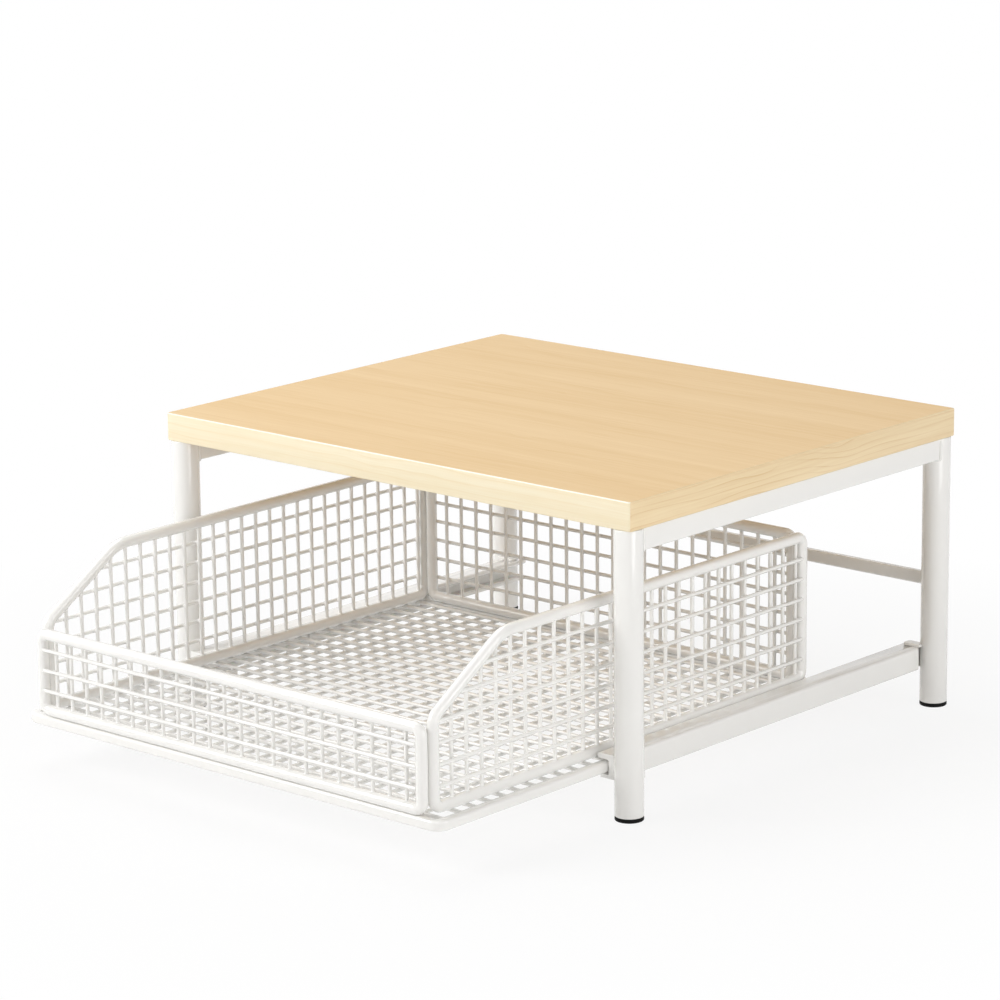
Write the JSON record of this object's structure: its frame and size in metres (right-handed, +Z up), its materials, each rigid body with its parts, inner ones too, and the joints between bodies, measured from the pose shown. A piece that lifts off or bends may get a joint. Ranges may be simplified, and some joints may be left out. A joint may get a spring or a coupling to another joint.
{
  "type": "microwave stand with drawer",
  "caption": "Counter stand with a wood-look board on white round-tube legs and a sloping-sided wire basket drawer that slides out on low side channels.",
  "frame": {"origin": "on the ground under the middle of the whole object, with the drawer pulled out as it is modelled", "axes": "+X to the right, +Y to the back, +Z up; the drawer opens towards -Y"},
  "size_m": [0.542, 0.6635, 0.275],
  "materials": {
    "board_top": "satin wood-look laminate",
    "board_edge": "satin wood-look edging",
    "white_paint": "glossy powder coat",
    "feet": "matte",
    "bumpers": "matte",
    "screws": "satin",
    "glides": "matte"
  },
  "bodies": {
    "stand": {"board": "board_top", "edge_band": "board_edge", "leg_front_left": "white_paint", "leg_front_right": "white_paint", "leg_rear_left": "white_paint", "leg_rear_right": "white_paint", "foot_front_left": "feet", "foot_front_right": "feet", "foot_rear_left": "feet", "foot_rear_right": "feet", "top_rail_left": "white_paint", "top_rail_right": "white_paint", "rear_bar": "white_paint", "bumper_left": "bumpers", "bumper_right": "bumpers", "board_tab_front_left": "white_paint", "board_tab_front_right": "white_paint", "board_tab_rear_left": "white_paint", "board_tab_rear_right": "white_paint", "board_screw_front_left": "screws", "board_screw_front_right": "screws", "board_screw_rear_left": "screws", "board_screw_rear_right": "screws", "channel_left": "white_paint", "channel_right": "white_paint", "channel_saddle_left": "white_paint", "channel_saddle_right": "white_paint", "channel_tab_left": "white_paint", "channel_tab_right": "white_paint", "glide_strip_left": "glides", "glide_strip_right": "glides", "stop_block_left": "white_paint", "stop_block_right": "white_paint"},
    "drawer": {"base_tube": "white_paint", "base_rear_bar": "white_paint", "end_plug_left": "glides", "end_plug_right": "glides", "floor_long_wires": "white_paint", "floor_cross_wires": "white_paint", "front_panel": "white_paint", "rear_panel": "white_paint", "side_panel_left": "white_paint", "side_panel_right": "white_paint", "drawer_catch_left": "white_paint", "drawer_catch_right": "white_paint"}
  },
  "joints": [
    {"name": "drawer_slide", "type": "slide", "parent": "stand", "child": "drawer", "axis": [0, -1, 0], "range_m": [-0.1462, 0.098]}
  ]
}
